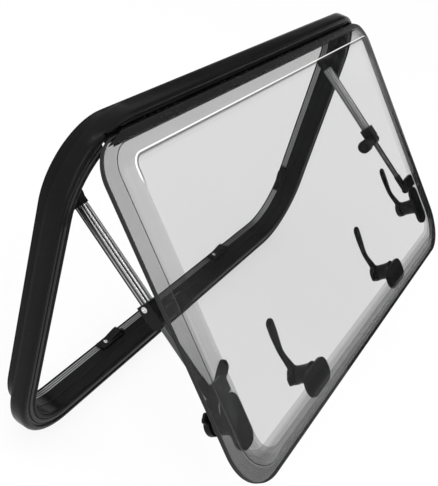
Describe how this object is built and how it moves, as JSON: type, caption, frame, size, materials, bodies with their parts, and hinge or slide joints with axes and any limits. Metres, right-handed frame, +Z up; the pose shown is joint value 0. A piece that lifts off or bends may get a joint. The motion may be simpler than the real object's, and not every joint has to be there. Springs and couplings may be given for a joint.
{
  "type": "top-hung caravan window",
  "caption": "Top-hung caravan window shown open: rounded black frame, clear double acrylic sash, two telescopic stays with clamp knobs and four turn latches.",
  "frame": {"origin": "On the flange's back face, where it meets the outside of the wall, at the middle of the bottom rail.", "axes": "+X along the bottom rail, +Y through the wall from outside to inside, +Z up"},
  "size_m": [0.79, 0.3185, 0.44],
  "materials": {
    "frame_plastic": "dark grey-black moulded plastic, satin",
    "profile_black": "black extruded profile, glossy",
    "seal_rubber": "soft black rubber",
    "strip_aluminium": "ribbed extruded aluminium",
    "stay_aluminium": "ribbed drawn aluminium",
    "screw_steel": "bright zinc-plated steel",
    "clear_sheet": "clear, faintly grey acrylic",
    "fitting_plastic": "black moulded plastic, satin"
  },
  "bodies": {
    "frame": {"outer_frame": "frame_plastic", "seal": "seal_rubber", "trim_strip": "strip_aluminium", "rear_bead": "frame_plastic", "hinge_profile": "profile_black", "bottom_keeper_left": "fitting_plastic", "bottom_keeper_right": "fitting_plastic", "side_keeper_left": "fitting_plastic", "side_keeper_right": "fitting_plastic", "stay_bracket_left": "fitting_plastic", "stay_bracket_right": "fitting_plastic"},
    "sash": {"outer_sheet": "clear_sheet", "inner_sheet": "clear_sheet", "sash_rail": "profile_black", "bottom_latch_left": "fitting_plastic", "bottom_latch_right": "fitting_plastic", "side_latch_left": "fitting_plastic", "side_latch_right": "fitting_plastic", "rod_bracket_left": "fitting_plastic", "rod_bracket_right": "fitting_plastic"},
    "stay_tube_left": {"stay_tube_left": "stay_aluminium", "stay_head_left": "fitting_plastic", "stay_clamp_left": "fitting_plastic", "stay_knob_left": "fitting_plastic", "stay_screw_left": "screw_steel"},
    "stay_rod_left": {"stay_rod_left": "stay_aluminium", "rod_end_left": "fitting_plastic"},
    "stay_tube_right": {"stay_tube_right": "stay_aluminium", "stay_head_right": "fitting_plastic", "stay_clamp_right": "fitting_plastic", "stay_knob_right": "fitting_plastic", "stay_screw_right": "screw_steel"},
    "stay_rod_right": {"stay_rod_right": "stay_aluminium", "rod_end_right": "fitting_plastic"},
    "bottom_lever_left": {"bottom_lever_left": "fitting_plastic"},
    "bottom_lever_right": {"bottom_lever_right": "fitting_plastic"},
    "side_lever_left": {"side_lever_left": "fitting_plastic"},
    "side_lever_right": {"side_lever_right": "fitting_plastic"}
  },
  "joints": [
    {"name": "sash_hinge", "type": "hinge", "parent": "frame", "child": "sash", "pos_m": [0, -0.018, 0.406], "axis": [-1, 0, 0], "range_deg": [-43, 5]},
    {"name": "stay_turn_left", "type": "hinge", "parent": "frame", "child": "stay_tube_left", "pos_m": [-0.342, 0.002, 0.334], "axis": [-1, 0, 0], "range_deg": [-52.23, 6.25]},
    {"name": "stay_slide_left", "type": "slide", "parent": "stay_tube_left", "child": "stay_rod_left", "axis": [0, -0.8296, -0.5584], "range_m": [-0.04135, 0.00525]},
    {"name": "stay_turn_right", "type": "hinge", "parent": "frame", "child": "stay_tube_right", "pos_m": [0.342, 0.002, 0.334], "axis": [-1, 0, 0], "range_deg": [-52.23, 6.25]},
    {"name": "stay_slide_right", "type": "slide", "parent": "stay_tube_right", "child": "stay_rod_right", "axis": [0, -0.8296, -0.5584], "range_m": [-0.04135, 0.00525]},
    {"name": "bottom_lever_turn_left", "type": "hinge", "parent": "sash", "child": "bottom_lever_left", "pos_m": [-0.158, -0.2445, 0.12498], "axis": [0, -0.7314, 0.682], "range_deg": [0, 90]},
    {"name": "bottom_lever_turn_right", "type": "hinge", "parent": "sash", "child": "bottom_lever_right", "pos_m": [0.158, -0.2445, 0.12498], "axis": [0, -0.7314, 0.682], "range_deg": [0, 90]},
    {"name": "side_lever_turn_left", "type": "hinge", "parent": "sash", "child": "side_lever_left", "pos_m": [-0.337, -0.21586, 0.1557], "axis": [0, 0.7314, -0.682], "range_deg": [-59, 31]},
    {"name": "side_lever_turn_right", "type": "hinge", "parent": "sash", "child": "side_lever_right", "pos_m": [0.337, -0.21586, 0.1557], "axis": [0, -0.7314, 0.682], "range_deg": [0, 84]}
  ],
  "couplings": [
    {"joint": "stay_turn_left", "follows": "sash_hinge", "ratio": 1.21},
    {"joint": "stay_slide_left", "follows": "sash_hinge", "m_per_rad": 0.054431},
    {"joint": "stay_turn_right", "follows": "sash_hinge", "ratio": 1.21},
    {"joint": "stay_slide_right", "follows": "sash_hinge", "m_per_rad": 0.054431}
  ]
}
